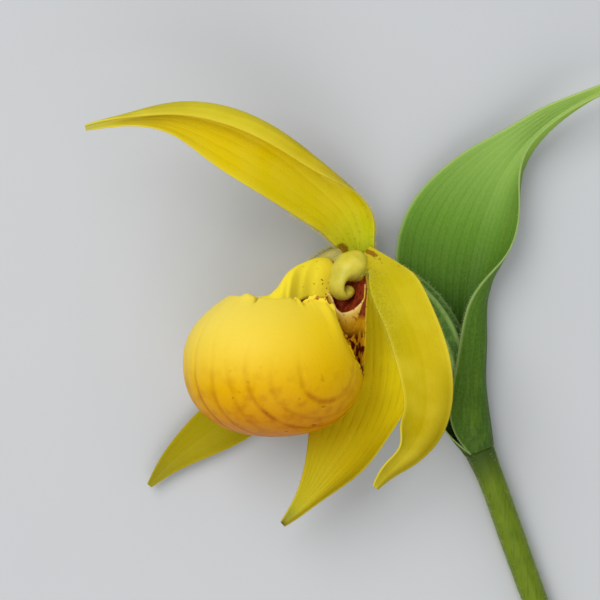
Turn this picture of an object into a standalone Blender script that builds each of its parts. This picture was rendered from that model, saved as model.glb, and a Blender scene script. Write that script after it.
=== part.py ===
"""Cypripedium orchid: one picked flowering stem, lying on a table.

Every piece is described from the receptacle, the knot where ovary, sepals, petals, lip and column
meet. Sizes are in millimetres and angles in degrees. The stem lies towards -Y, the flower faces -X
and a little upwards, and its own left petal is the upper one.
"""

import math

import bpy
import numpy as np

MM = 0.001

# The receptacle's place, with the part's box centred on X and Y, and its height above the table.
RECEPTACLE = (-0.3, 30.3, 7.5)
TABLE = -RECEPTACLE[2]

# The flower looks up from the table by this angle. Its front, its own left side and its top:
FACING = math.radians(40.0)
FRONT = np.array([-math.cos(FACING), 0.0, math.sin(FACING)])
LEFT = np.array([math.sin(FACING), 0.0, math.cos(FACING)])
TOP = np.array([0.0, 1.0, 0.0])

PETAL_THICK = 0.8
MARGIN_THICK = 0.6
BRACT_THICK = 0.9
LIP_THICK = 0.9

# A blade's stations run from its base to its tip. Each gives the midrib's place, the blade's roll
# about it, the crease along it, and for each half its width and how far it bends towards the inner
# face between the midrib and the margin. Left and right are as seen looking along the midrib with
# the inner face up.
#    x,     y,     z,  roll, crease, left wide, left bend, right wide, right bend
DORSAL_SEPAL = (
    (-0.8, 3.15, -0.8, -6, 8, 4.0, 10, 4.2, 30),
    (-1.7, 5.8, 0.4, -8, 8, 5.4, 12, 5.6, 45),
    (-3.8, 9.6, 2.4, -8, 8, 6.6, 12, 7.4, 75),
    (-7.6, 13.4, 5.0, -10, 8, 7.8, 14, 8.8, 110),
    (-14.0, 18.8, 9.5, -10, 8, 9.2, 14, 9.8, 155),
    (-22.0, 24.1, 14.5, -8, 8, 9.8, 14, 10.4, 175),
    (-30.5, 27.9, 18.5, 0, 8, 8.2, 16, 9.8, 175),
    (-39.6, 29.9, 21.5, 12, 10, 4.8, 40, 6.8, 160),
    (-49.0, 29.1, 23.0, 16, 14, 1.8, 60, 3.2, 120),
    (-58.6, 27.2, 23.5, 10, 10, 0.6, 40, 0.7, 40),
)
SYNSEPAL = (
    (2.4, -4.4, -3.1, 0, 0, 2.6, 4, 3.0, 4),
    (2.8, -11.0, -3.6, -8, 4, 7.0, 10, 7.6, 8),
    (3.2, -21.0, -2.4, -20, 4, 10.4, 18, 10.6, 8),
    (2.0, -31.0, 0.2, -26, 4, 11.6, 28, 12.0, 8),
    (-1.8, -39.8, 3.6, -22, 4, 10.0, 48, 10.4, 12),
    (-7.2, -47.4, 6.8, -12, 8, 6.0, 56, 6.4, 26),
    (-12.4, -53.4, 9.0, -6, 10, 2.6, 56, 2.8, 40),
    (-17.0, -57.8, 10.0, 0, 10, 0.7, 30, 0.7, 30),
)
LEFT_PETAL = (
    (3.8, -1.2, 3.3, 14, 0, 2.6, 6, 2.8, 6),
    (6.4, -5.2, 7.8, 10, 4, 5.0, 12, 4.8, 8),
    (9.8, -12.4, 13.4, 4, 6, 5.8, 16, 5.6, 8),
    (12.4, -20.2, 18.0, 0, 8, 6.0, 18, 5.8, 8),
    (13.6, -28.0, 21.8, 0, 8, 6.0, 22, 5.4, 10),
    (12.8, -35.2, 24.6, 4, 8, 5.4, 40, 4.8, 14),
    (9.6, -41.0, 26.4, 10, 8, 3.8, 60, 3.4, 30),
    (5.8, -44.8, 27.6, 10, 8, 2.0, 50, 2.2, 40),
    (2.6, -48.6, 29.0, 0, 8, 0.7, 30, 0.7, 30),
)
RIGHT_PETAL = (
    (0.6, 0.2, -2.9, 0, 0, 2.0, 4, 2.0, 4),
    (-6.6, -5.4, -6.2, 0, 2, 4.6, 6, 4.6, 6),
    (-14.0, -15.2, -7.1, 0, 2, 6.4, 4, 5.8, 8),
    (-21.0, -25.0, -7.2, 0, 2, 7.6, 4, 6.0, 6),
    (-28.0, -33.4, -7.0, 0, 5, 7.4, 10, 5.4, 10),
    (-35.6, -40.0, -6.4, 0, 12, 5.0, 16, 4.6, 16),
    (-42.0, -45.2, -5.6, 0, 14, 2.8, 20, 2.6, 20),
    (-46.6, -50.4, -4.8, 0, 10, 0.6, 20, 0.6, 20),
)
BRACT = (
    (26.5, -42.3, -6.1, 0, 0, 6.6, 140, 7.6, 165),
    (24.4, -36.5, -6.6, 0, 0, 8.4, 80, 13.6, 205),
    (23.4, -28.0, -6.9, 0, 0, 10.0, 40, 15.6, 212),
    (23.4, -18.5, -7.1, 0, 0, 12.4, 24, 15.8, 200),
    (23.6, -9.0, -7.1, 0, 1, 15.4, 20, 13.6, 170),
    (25.0, 1.0, -7.0, 0, 2, 17.2, 16, 12.4, 104),
    (27.8, 10.4, -6.5, 0, 4, 15.4, 18, 11.2, 78),
    (31.4, 18.4, -5.4, 0, 7, 10.6, 20, 9.2, 96),
    (36.2, 25.0, -3.6, 0, 12, 6.0, 20, 7.0, 130),
    (42.6, 30.8, -1.0, 0, 16, 3.8, 30, 4.6, 130),
    (51.0, 35.8, 1.6, 0, 16, 1.8, 40, 2.0, 100),
    (59.0, 39.8, 3.4, 0, 10, 0.6, 20, 0.6, 20),
)

# Where across each half a blade bends: from and to, as shares of the half's width.
EVEN_BEND = (0.0, 1.0)
ROLLED_BEND = (0.30, 0.80)

# The lip is a pouch: half its length front to back, half its width and half its height, round a
# centre, squared a little.
LIP_CENTRE = (-18.7, -22.9, 14.4)
LIP_HALF = (20.0, 19.0, 15.7)
LIP_SQUARE = 2.25
# Round its mouth, by the angle from its front over its own left: the rim's height over the
# centre, the share of its full girth that the wall has there, how far the margin turns over
# inwards from the rim, and how far it hangs down then. A margin that hangs by -1 stands up by 1.
LIP_RIM = (
    (0, 14.6, 0.54, 3.0, 1.0),
    (20, 14.2, 0.56, 3.0, 1.0),
    (45, 14.0, 0.56, 2.4, 0.6),
    (75, 14.0, 0.58, 1.2, -0.2),
    (92, 13.4, 0.70, 0.0, -1.0),
    (97, 13.6, 0.77, 0.0, -1.0),
    (101, 12.0, 0.82, 0.0, -1.0),
    (106, 7.2, 0.88, 0.0, -1.0),
    (111, 3.6, 0.93, 0.0, -1.0),
    (117, 0.4, 0.97, 0.0, -1.0),
    (126, -2.4, 1.00, 0.0, -1.0),
    (136, -2.8, 1.00, 0.0, -1.0),
    (146, -1.6, 1.00, 0.0, -1.0),
    (153, 11.0, 1.04, 0.0, -1.0),
    (164, 16.4, 1.12, 0.0, -1.0),
    (172, 19.0, 1.18, 0.0, -1.0),
    (180, 19.7, 1.20, 0.0, -1.0),
    (188, 19.0, 1.14, 0.0, -1.0),
    (194, 21.4, 1.08, 2.6, 3.4),
    (200, 23.4, 1.03, 5.6, 9.0),
    (207, 22.4, 0.92, 6.4, 9.4),
    (215, 20.8, 0.76, 6.0, 9.4),
    (221, 19.4, 0.69, 5.6, 8.4),
    (228, 16.6, 0.64, 4.8, 6.0),
    (237, 14.8, 0.59, 3.8, 3.4),
    (249, 14.4, 0.55, 3.2, 1.8),
    (262, 14.4, 0.50, 3.0, 1.0),
    (285, 14.4, 0.48, 3.0, 1.0),
    (310, 14.4, 0.50, 3.0, 1.0),
    (340, 14.6, 0.52, 3.0, 1.0),
)
# How late the wall closes in towards its rim: higher is later.
LIP_CLOSES_LATE = 2.4

# Tubes: the middle's place and the radius at each station.
STEM = (
    (26.6, -42.9, -3.6, 2.8),
    (29.3, -50.0, -4.0, 2.75),
    (32.9, -60.0, -4.5, 2.8),
    (36.4, -70.0, -4.7, 2.8),
    (40.2, -80.0, -4.7, 2.8),
    (44.2, -90.0, -4.7, 2.8),
    (48.2, -100.0, -4.7, 2.8),
)
OVARY = (
    (26.4, -42.2, -3.5, 1.6),
    (24.6, -35.0, -3.2, 2.0),
    (22.8, -27.0, -2.9, 2.5),
    (20.4, -19.0, -2.2, 2.9),
    (16.8, -12.4, -1.0, 3.0),
    (12.0, -7.0, -0.2, 2.7),
    (6.6, -3.2, 0.0, 2.3),
    (2.2, -0.8, 0.0, 2.1),
)
# Pieces on the column's upright plane: places forward of the receptacle and above it, then half
# the width and half the thickness.
COLUMN = (
    (-0.3, 0.0, 1.9, 1.9),
    (1.6, 0.0, 2.3, 2.3),
    (3.5, -0.3, 2.4, 2.4),
    (5.0, -0.9, 1.8, 1.8),
)
STAMINODE = (
    (5.5, -1.4, 1.9, 0.9),
    (6.8, -2.7, 2.5, 1.1),
    (7.8, -4.9, 2.6, 1.1),
    (7.4, -7.3, 2.4, 1.0),
    (6.0, -8.6, 2.0, 0.9),
    (4.5, -8.2, 1.6, 0.8),
    (3.8, -7.0, 1.3, 0.7),
    (4.6, -6.0, 0.9, 0.6),
)
STIGMA = (
    (3.5, -3.2, 0.9, 0.8),
    (3.9, -4.0, 1.6, 1.1),
    (4.2, -4.6, 1.4, 0.8),
)
ANTHER = (
    (2.2, -1.0, 0.5, 0.6),
    (3.2, -1.7, 0.8, 0.8),
    (4.4, -2.6, 0.5, 0.6),
)
ANTHER_OUT = 3.4

STEM_GREEN = (0.13, 0.22, 0.02)
OVARY_GREEN = (0.16, 0.34, 0.06)
BRACT_GREEN = (0.12, 0.30, 0.04)
SEPAL_YELLOW = (0.70, 0.55, 0.02)
OLIVE_YELLOW = (0.46, 0.38, 0.02)
LIP_YELLOW = (0.80, 0.60, 0.02)
COLUMN_YELLOW = (0.75, 0.68, 0.20)
STIGMA_GREEN = (0.50, 0.50, 0.10)
ANTHER_BROWN = (0.50, 0.30, 0.08)


def smooth_rows(places, rows, at):
    """Rows of numbers read at any places along the natural cubic curve through them."""
    steps = np.diff(places)
    slopes = np.diff(rows, axis=0) / steps[:, None]
    count = len(places)
    system = np.eye(count)
    target = np.zeros_like(rows)
    for i in range(1, count - 1):
        system[i, i - 1 : i + 2] = steps[i - 1], 2 * (steps[i - 1] + steps[i]), steps[i]
        target[i] = 6 * (slopes[i] - slopes[i - 1])
    bends = np.linalg.solve(system, target)
    i = np.clip(np.searchsorted(places, at, side="right") - 1, 0, count - 2)
    ahead = ((at - places[i]) / steps[i])[:, None]
    behind = 1 - ahead
    square = (steps[i] ** 2 / 6)[:, None]
    return (
        behind * rows[i]
        + ahead * rows[i + 1]
        + square * ((behind**3 - behind) * bends[i] + (ahead**3 - ahead) * bends[i + 1])
    )


def along_stations(stations, count):
    """The stations' rows read at count even steps of length, and each step's share of the whole."""
    rows = np.asarray(stations, float)
    lengths = np.linalg.norm(np.diff(rows[:, :3], axis=0), axis=1)
    places = np.concatenate([[0], np.cumsum(lengths)])
    at = np.linspace(0, places[-1], count + 1)
    return smooth_rows(places, rows, at), at / places[-1]


def unit(vectors):
    return vectors / np.linalg.norm(vectors, axis=-1, keepdims=True)


def blade(stations, along, across, right_bend=EVEN_BEND, ripple=(0, 0, 0)):
    """The blade's middle surface as rows of points from base to tip, each from left to right.

    ripple waves the margins: by this angle, so many times, starting at this share of a wave."""
    rows, share_along = along_stations(stations, along)
    spine = rows[:, :3]
    travel = unit(np.gradient(spine, axis=0))
    facing = unit(np.array([0.0, 0.0, 1.0]) - travel * travel[:, 2:3])
    side = np.cross(travel, facing)
    roll = np.radians(rows[:, 3:4])
    rolled_side = np.cos(roll) * side + np.sin(roll) * facing
    facing = np.cos(roll) * facing - np.sin(roll) * side
    angle, waves, start = ripple
    halves = []
    for hand, (first, last), column in ((-1, EVEN_BEND, 5), (1, right_bend, 7)):
        wide = np.maximum(rows[:, column], 0.5)
        wave = angle * np.sin(2 * math.pi * (waves * share_along + start + 0.3 * hand))
        line = [spine]
        for k in range(across):
            share = (k + 0.5) / across
            bent = np.clip((share - first) / (last - first), 0, 1)
            turn = rows[:, 4] + rows[:, column + 1] * bent
            turn = np.radians(turn + wave * share**2)[:, None]
            step = hand * np.cos(turn) * rolled_side + np.sin(turn) * facing
            line.append(line[-1] + step * wide[:, None] / across)
        halves.append(line)
    return np.stack(halves[0][:0:-1] + halves[1], axis=1)


def split(a, b, c, d):
    """A four-cornered patch as two triangles, always along the same diagonal."""
    return [(a, b, c), (a, c, d)]


def sheet(grid, thick):
    """A closed sheet round a grid of points, thinner at its side margins, and flat where it rests
    on the table."""
    rows, columns = grid.shape[:2]
    share = np.abs(np.linspace(-1, 1, columns))
    half = ((thick + (MARGIN_THICK - thick) * share**2) / 2)[None, :, None]
    normal = unit(np.cross(np.gradient(grid, axis=1), np.gradient(grid, axis=0)))
    faces_up = grid + normal * half
    faces_down = grid - normal * half
    sunk = np.maximum(TABLE - faces_down[..., 2], 0)
    faces_down[..., 2] += sunk
    faces_up[..., 2] += sunk
    points = np.concatenate([faces_up.reshape(-1, 3), faces_down.reshape(-1, 3)])
    faces = []
    for i in range(rows - 1):
        for j in range(columns - 1):
            near, far = i * columns + j, (i + 1) * columns + j
            patch = split(near, near + 1, far + 1, far)
            faces += patch
            faces += [tuple(corner + rows * columns for corner in face[::-1]) for face in patch]
    rim = [i * columns for i in range(rows)]
    rim += [(rows - 1) * columns + j for j in range(1, columns)]
    rim += [i * columns + columns - 1 for i in range(rows - 2, -1, -1)]
    rim += list(range(columns - 2, 0, -1))
    for here, there in zip(rim, rim[1:] + rim[:1]):
        faces += split(here, there, there + rows * columns, here + rows * columns)
    return points, faces


def on_column(stations, out=0.0):
    """Stations given in the column's upright plane as stations in space, moved out to its left."""
    return [
        (*(forward * FRONT + above * TOP + out * LEFT), thick, wide)
        for forward, above, wide, thick in stations
    ]


def tube(stations, along, sides, up=(0.0, 0.0, 1.0), ribs=0, rib_depth=0.0):
    """A closed tube along the stations' places, with lengthwise ribs if it has any.

    A station ends with the radius, or with the radii across up and along it."""
    rows, _ = along_stations(stations, along)
    middle, wide, thick = rows[:, :3], rows[:, 3], rows[:, -1]
    travel = unit(np.gradient(middle, axis=0))
    facing = unit(np.array(up) - travel * (travel @ np.array(up))[:, None])
    side = np.cross(travel, facing)
    turn = 2 * math.pi * np.arange(sides) / sides
    swell = 1 + rib_depth * np.cos(ribs * turn)
    across = (wide[:, None] * swell * np.cos(turn))[..., None] * side[:, None]
    through = (thick[:, None] * swell * np.sin(turn))[..., None] * facing[:, None]
    rings = middle[:, None] + across + through
    points = rings.reshape(-1, 3)
    points[:, 2] = np.maximum(points[:, 2], TABLE)
    faces = [tuple(range(sides))]
    for i in range(along):
        for j in range(sides):
            k = (j + 1) % sides
            faces += split(
                i * sides + j, (i + 1) * sides + j, (i + 1) * sides + k, i * sides + k
            )
    faces.append(tuple(along * sides + j for j in range(sides - 1, -1, -1)))
    return points, faces


def lip_grid(around, up, over_rim):
    """The pouch's outer surface: rows from its lowest point to the rim and over it, going round."""
    angles = np.arange(around) * 360 / around
    places = np.array(LIP_RIM + ((360, *LIP_RIM[0][1:]),), float)
    height, girth, inward, hanging = (
        np.interp(angles, places[:, 0], places[:, column]) for column in (1, 2, 3, 4)
    )
    turn = np.radians(angles)
    half_long, half_wide, half_high = LIP_HALF
    power = 2 / LIP_SQUARE
    # How far each line from the lowest point reaches: 1 is the widest level, halfway up.
    below = 1 + 2 / math.pi * np.arcsin(np.minimum(height, 0) / half_high)
    full = np.where(height > 0, 1 + height / half_high, below)
    rows = []
    for step in range(up + 1):
        reach = full * step / up
        low = np.radians(90 * (np.minimum(reach, 1) - 1))
        above = np.maximum(reach - 1, 0) / np.maximum(full - 1, 1e-6)
        above = np.where(full > 1, above, 0)
        out = np.cos(low) ** power * (1 - (1 - girth) * above**LIP_CLOSES_LATE)
        rise = height * above - half_high * np.abs(np.sin(low)) ** power
        rows.append((out, rise))
    rim_out, rim_rise = rows[-1]
    for step in range(1, over_rim + 1):
        bent = math.pi / 2 * step / over_rim
        out = rim_out - inward / half_long * math.sin(bent)
        rows.append((out, rim_rise - hanging * (1 - math.cos(bent))))
    points = []
    for out, rise in rows:
        flat = (half_long * out * np.cos(turn))[:, None] * FRONT
        flat = flat + (half_wide * out * np.sin(turn))[:, None] * LEFT
        points.append(np.array(LIP_CENTRE) + flat + rise[:, None] * TOP)
    return np.stack(points)


def cup(grid, thick):
    """A closed shell inside a grid of points that goes round, whose first row is one point."""
    rows, around = grid.shape[:2]
    over = np.roll(grid, -1, axis=1) - np.roll(grid, 1, axis=1)
    up = np.gradient(grid, axis=0)
    normal = np.cross(up, over)
    normal[0] = normal[1].mean(axis=0)
    normal = unit(normal)
    inside = grid + normal * thick
    points = [grid[0, 0], inside[0, 0]]
    points += list(grid[1:].reshape(-1, 3)) + list(inside[1:].reshape(-1, 3))
    shell = (rows - 1) * around
    faces = []
    for j in range(around):
        k = (j + 1) % around
        faces += [(0, 2 + k, 2 + j), (1, 2 + shell + j, 2 + shell + k)]
        for i in range(rows - 2):
            here, there = 2 + i * around, 2 + (i + 1) * around
            patch = split(here + j, here + k, there + k, there + j)
            faces += patch
            faces += [tuple(corner + shell for corner in face[::-1]) for face in patch]
        top = 2 + (rows - 2) * around
        faces += split(top + j, top + k, top + k + shell, top + j + shell)
    return np.array(points), faces


def add_piece(name, solid, colour, roughness):
    points, faces = solid
    mesh = bpy.data.meshes.new(name)
    mesh.from_pydata([tuple(point) for point in np.asarray(points) * MM], [], faces)
    mesh.shade_smooth()
    material = bpy.data.materials.new(name)
    material.use_nodes = True
    shader = material.node_tree.nodes["Principled BSDF"]
    shader.inputs["Base Color"].default_value = (*colour, 1)
    shader.inputs["Roughness"].default_value = roughness
    shader.inputs["Metallic"].default_value = 0
    mesh.materials.append(material)
    piece = bpy.data.objects.new(name, mesh)
    bpy.context.scene.collection.objects.link(piece)
    piece.parent = bpy.data.objects["receptacle_place"]


def main():
    for thing in list(bpy.data.objects):
        bpy.data.objects.remove(thing)
    place = bpy.data.objects.new("receptacle_place", None)
    place.location = [value * MM for value in RECEPTACLE]
    bpy.context.scene.collection.objects.link(place)
    add_piece("stem", tube(STEM, 20, 12), STEM_GREEN, 0.5)
    add_piece("ovary", tube(OVARY, 18, 24, ribs=6, rib_depth=0.1), OVARY_GREEN, 0.5)
    add_piece("bract", sheet(blade(BRACT, 28, 7), BRACT_THICK), BRACT_GREEN, 0.5)
    hood = blade(DORSAL_SEPAL, 24, 6, ROLLED_BEND)
    add_piece("dorsal_sepal", sheet(hood, PETAL_THICK), SEPAL_YELLOW, 0.45)
    apron = blade(SYNSEPAL, 20, 5, ripple=(8, 2.6, 0.1))
    add_piece("synsepal", sheet(apron, PETAL_THICK), OLIVE_YELLOW, 0.45)
    petal = blade(LEFT_PETAL, 20, 4, ripple=(8, 2.2, 0.0))
    add_piece("petal_left", sheet(petal, PETAL_THICK), SEPAL_YELLOW, 0.45)
    petal = blade(RIGHT_PETAL, 18, 4)
    add_piece("petal_right", sheet(petal, PETAL_THICK), OLIVE_YELLOW, 0.45)
    add_piece("lip", cup(lip_grid(48, 12, 4), LIP_THICK), LIP_YELLOW, 0.35)
    add_piece("column", tube(on_column(COLUMN), 8, 14, LEFT), COLUMN_YELLOW, 0.4)
    add_piece("staminode", tube(on_column(STAMINODE), 18, 12, LEFT), COLUMN_YELLOW, 0.4)
    add_piece("stigma", tube(on_column(STIGMA), 4, 12, LEFT), STIGMA_GREEN, 0.4)
    for name, out in (("anther_left", ANTHER_OUT), ("anther_right", -ANTHER_OUT)):
        add_piece(name, tube(on_column(ANTHER, out), 6, 10, LEFT), ANTHER_BROWN, 0.5)


main()
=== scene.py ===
import math

import bpy
import numpy as np
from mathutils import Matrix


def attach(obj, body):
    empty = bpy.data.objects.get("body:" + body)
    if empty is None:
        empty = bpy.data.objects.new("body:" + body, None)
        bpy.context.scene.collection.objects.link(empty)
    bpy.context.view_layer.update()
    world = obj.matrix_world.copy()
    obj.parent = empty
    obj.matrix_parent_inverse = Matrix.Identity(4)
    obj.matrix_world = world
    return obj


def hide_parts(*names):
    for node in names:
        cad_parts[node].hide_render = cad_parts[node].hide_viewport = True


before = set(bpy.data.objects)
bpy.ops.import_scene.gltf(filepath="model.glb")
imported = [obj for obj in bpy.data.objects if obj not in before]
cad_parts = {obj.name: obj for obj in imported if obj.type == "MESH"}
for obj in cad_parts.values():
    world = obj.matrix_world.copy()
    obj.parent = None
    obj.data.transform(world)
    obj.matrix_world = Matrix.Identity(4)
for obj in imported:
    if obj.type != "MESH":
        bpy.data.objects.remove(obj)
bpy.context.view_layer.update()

# The stem: the round green stalk that carried the flower, cut straight across at its foot. It grew
# as one with the knot that the bract springs from, is ridged a little lengthwise, and is set with
# short white hairs.
MM = 0.001
receptacle = np.array([-0.3, 30.3, 7.5])
top = np.array([0.0, 1.0, 0.0])
# Places are in millimetres from the receptacle, where the flower's parts meet: to the right, up
# along the table and off the table. A stalk's stations are places on its middle, each with its radius.
stem_stations = (
    (26.1, -41.2, -3.5, 2.2),
    (26.4, -42.1, -3.55, 2.95),
    (27.0, -43.6, -3.65, 3.2),
    (28.0, -46.0, -3.75, 3.0),
    (29.6, -50.0, -4.0, 2.85),
    (33.2, -60.0, -4.5, 2.85),
    (36.8, -70.0, -4.7, 2.8),
    (40.5, -80.0, -4.75, 2.75),
    (44.5, -90.0, -4.8, 2.7),
    (48.5, -100.0, -4.8, 2.7),
)
stem_green = (84, 106, 4)
stem_shade = (56, 76, 4)
stem_light = (114, 132, 18)
stem_knot_shade = (44, 68, 8)
stem_cut = (176, 190, 110)
hair_white = (182, 194, 134)
hair_light = (206, 214, 170)
fine_hair = 0.024
stem_hair_count = 5200
stem_hair_long = 0.95
stem_hair_lean = 0.25


def linear(colour):
    """A colour as the eye names it, in 0 to 255, as the light that a shader mixes."""
    parts = [value / 255 for value in colour]
    light = [part / 12.92 if part <= 0.04045 else ((part + 0.055) / 1.055) ** 2.4 for part in parts]
    return (*light, 1.0)


def unit(vectors):
    return vectors / np.linalg.norm(vectors, axis=-1, keepdims=True)


def along_stations(stations, count):
    """The stations read at even steps of length along the natural cubic curve through them."""
    rows = np.asarray(stations, float)
    steps = np.linalg.norm(np.diff(rows[:, :3], axis=0), axis=1)
    places = np.concatenate([[0], np.cumsum(steps)])
    at = np.linspace(0, places[-1], count + 1)
    slopes = np.diff(rows, axis=0) / steps[:, None]
    system = np.eye(len(rows))
    target = np.zeros_like(rows)
    for i in range(1, len(rows) - 1):
        system[i, i - 1 : i + 2] = steps[i - 1], 2 * (steps[i - 1] + steps[i]), steps[i]
        target[i] = 6 * (slopes[i] - slopes[i - 1])
    bends = np.linalg.solve(system, target)
    i = np.clip(np.searchsorted(places, at, side="right") - 1, 0, len(rows) - 2)
    ahead = ((at - places[i]) / steps[i])[:, None]
    behind = 1 - ahead
    square = (steps[i] ** 2 / 6)[:, None]
    curve = (behind**3 - behind) * bends[i] + (ahead**3 - ahead) * bends[i + 1]
    return behind * rows[i] + ahead * rows[i + 1] + square * curve, at / places[-1]


def grown(name, points, faces, skin, slot, *nodes, **paints):
    """A piece of the plant, from points round the receptacle, kept above the table. It rides with
    the part and replaces the nodes given. paints are numbers, one for each point, for its skin."""
    points = np.asarray(points, float) + receptacle
    points[:, 2] = np.maximum(points[:, 2], 0.0)
    mesh = bpy.data.meshes.new(name)
    mesh.from_pydata((points * MM).tolist(), [], faces)
    for paint, values in paints.items():
        layer = mesh.attributes.new(paint, "FLOAT", "POINT")
        layer.data.foreach_set("value", np.asarray(values, np.float32).ravel())
    mesh.shade_smooth()
    mesh.materials.append(skin)
    piece = bpy.data.objects.new(name, mesh)
    bpy.context.scene.collection.objects.link(piece)
    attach(piece, "root")
    if nodes:
        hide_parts(*nodes)


def tube(stations, along, sides, swell, up=(0.0, 0.0, 1.0)):
    """A round stalk: its points, outward directions and faces, and how far along and how far round
    each point lies. swell(along, turn) widens or narrows it."""
    rows, share = along_stations(stations, along)
    middle, wide, thick = rows[:, :3], rows[:, 3], rows[:, -1]
    travel = unit(np.gradient(middle, axis=0))
    facing = unit(np.array(up) - travel * (travel @ np.array(up))[:, None])
    side = np.cross(travel, facing)
    turn = 2 * math.pi * np.arange(sides) / sides
    size = swell(share[:, None], turn[None])
    across = (wide[:, None] * np.cos(turn) * size)[..., None] * side[:, None]
    through = (thick[:, None] * np.sin(turn) * size)[..., None] * facing[:, None]
    points = (middle[:, None] + across + through).reshape(-1, 3)
    outward = unit(across / wide[:, None, None] ** 2 + through / thick[:, None, None] ** 2)
    faces = [tuple(range(sides))]
    for i in range(along):
        for j in range(sides):
            k = (j + 1) % sides
            row = i * sides
            faces.append((row + j, row + sides + j, row + sides + k, row + k))
    faces.append(tuple(along * sides + j for j in range(sides - 1, -1, -1)))
    far = np.repeat(share, sides)
    return points, outward.reshape(-1, 3), faces, far, np.tile(turn, along + 1)


def hairs(name, roots, directions, length, skin, slot, seed, thick):
    """Short tapering hairs, each bent a little, standing on the roots given."""
    draw = np.random.default_rng(seed)
    count = len(roots)
    lean = unit(directions + 0.32 * draw.normal(size=(count, 3)))
    long = (length * draw.uniform(0.55, 1.25, count))[:, None]
    curl = unit(np.cross(lean, draw.normal(size=(count, 3))))
    across = np.cross(lean, curl)
    middle = roots + lean * long * 0.55 + curl * long * 0.05
    tip = roots + lean * long + curl * long * 0.22
    points = []
    for centre, radius in ((roots - lean * 0.05, thick), (middle, thick * 0.7)):
        for corner in range(3):
            turn = 2 * math.pi * corner / 3
            points.append(centre + radius * (math.cos(turn) * curl + math.sin(turn) * across))
    points = np.stack(points + [tip], axis=1).reshape(-1, 3)
    pattern = np.array(
        [(0, 2, 1), (0, 1, 4), (0, 4, 3), (1, 2, 5), (1, 5, 4), (2, 0, 3), (2, 3, 5)]
        + [(3, 4, 6), (4, 5, 6), (5, 3, 6)]
    )
    faces = (pattern[None] + 7 * np.arange(count)[:, None, None]).reshape(-1, 3).tolist()
    grown(name, points, faces, skin, slot)


def node(tree, kind, inputs=(), **settings):
    """A shader node with its settings, and its sockets set to values or joined to other sockets."""
    made = tree.nodes.new("ShaderNode" + kind)
    for key, value in settings.items():
        setattr(made, key, value)
    for socket, value in dict(inputs).items():
        if isinstance(value, bpy.types.NodeSocket):
            tree.links.new(value, made.inputs[socket])
        else:
            made.inputs[socket].default_value = value
    return made


def calc(tree, operation, *values):
    """What the operation makes of sockets and numbers."""
    return node(tree, "Math", dict(enumerate(values)), operation=operation).outputs[0]


def times(tree, value, *factors):
    """A value times each of the factors in turn."""
    for factor in factors:
        value = calc(tree, "MULTIPLY", value, factor)
    return value


def rest(tree, share):
    """What a share leaves of 1."""
    return calc(tree, "SUBTRACT", 1.0, share)


def paint(tree, name):
    """The number of that name that each point of the piece carries."""
    return node(tree, "Attribute", attribute_name=name).outputs["Fac"]


def stretch(tree, value, low, high):
    """How far a value lies between low and high, from 0 to 1."""
    inputs = {"Value": value, "From Min": low, "From Max": high}
    return node(tree, "MapRange", inputs, clamp=True).outputs[0]


def mixed(tree, share, under, over):
    """Two colours, sockets or eye colours, mixed by a share."""
    colours = [c if isinstance(c, bpy.types.NodeSocket) else linear(c) for c in (under, over)]
    inputs = {0: share, 6: colours[0], 7: colours[1]}
    return node(tree, "Mix", inputs, data_type="RGBA").outputs[2]


def cloud(tree, size, detail=3.0, stretch_by=(1, 1, 1)):
    """Soft irregular patches about size millimetres across, drawn out where stretch_by is small."""
    place = node(tree, "TexCoord").outputs["Object"]
    place = node(tree, "Mapping", {"Vector": place, "Scale": stretch_by}).outputs[0]
    inputs = {"Vector": place, "Scale": 1 / (size * MM), "Detail": detail}
    return node(tree, "TexNoise", inputs).outputs[0]


def living_skin(name, build, roughness, gloss=0.2, depth=0.0, glow=0.12, fuzz=0.0):
    """A plant skin. build(tree) gives its colour and the height that its bump follows, depth
    millimetres deep. glow is the light that soaks into it, and fuzz its down."""
    skin = bpy.data.materials.new(name)
    skin.use_nodes = True
    tree = skin.node_tree
    shader = tree.nodes["Principled BSDF"]
    colour, height = build(tree)
    tree.links.new(colour, shader.inputs["Base Color"])
    if height is not None:
        inputs = {"Height": height, "Strength": 0.6, "Distance": depth * MM}
        bump = node(tree, "Bump", inputs).outputs[0]
        tree.links.new(bump, shader.inputs["Normal"])
    shader.inputs["Roughness"].default_value = roughness
    shader.inputs["Specular IOR Level"].default_value = gloss
    shader.inputs["Subsurface Weight"].default_value = glow
    shader.inputs["Subsurface Radius"].default_value = (1.0, 0.6, 0.15)
    shader.inputs["Subsurface Scale"].default_value = 1.2 * MM
    shader.inputs["Sheen Weight"].default_value = fuzz
    shader.inputs["Sheen Roughness"].default_value = 0.5
    return skin


def stem_colour(tree):
    patches = cloud(tree, 5.0)
    lines = cloud(tree, 0.5, 2.0, (1.0, 0.12, 1.0))
    colour = mixed(tree, stretch(tree, patches, 0.15, 1.0), stem_green, stem_light)
    shade = times(tree, stretch(tree, lines, 0.5, 0.75), 0.45)
    colour = mixed(tree, shade, colour, stem_shade)
    # Painted shade at the stem's top, where the bract's foot wraps the knot.
    knot = rest(tree, stretch(tree, paint(tree, "along"), 0.04, 0.15))
    colour = mixed(tree, times(tree, knot, 0.85), colour, stem_knot_shade)
    cut = stretch(tree, paint(tree, "along"), 0.997, 1.0)
    return mixed(tree, times(tree, cut, 0.8), colour, stem_cut), lines


def stem_ridges(along, turn):
    """Low ridges along the stem, and the swelling at its knot. The cut end stays round."""
    soft = 0.012 * np.cos(7 * turn + 2.0 * along) + 0.008 * np.cos(12 * turn - 3.0 * along)
    knot = 0.04 * np.exp(-((along - 0.012) / 0.02) ** 2)
    return 1 + soft * (along < 1) + knot


def hair_colour(soft, bright):
    """The hairs' paint: two pale colours in small patches, and no bump."""
    return lambda tree: (mixed(tree, cloud(tree, 1.0), soft, bright), None)


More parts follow.
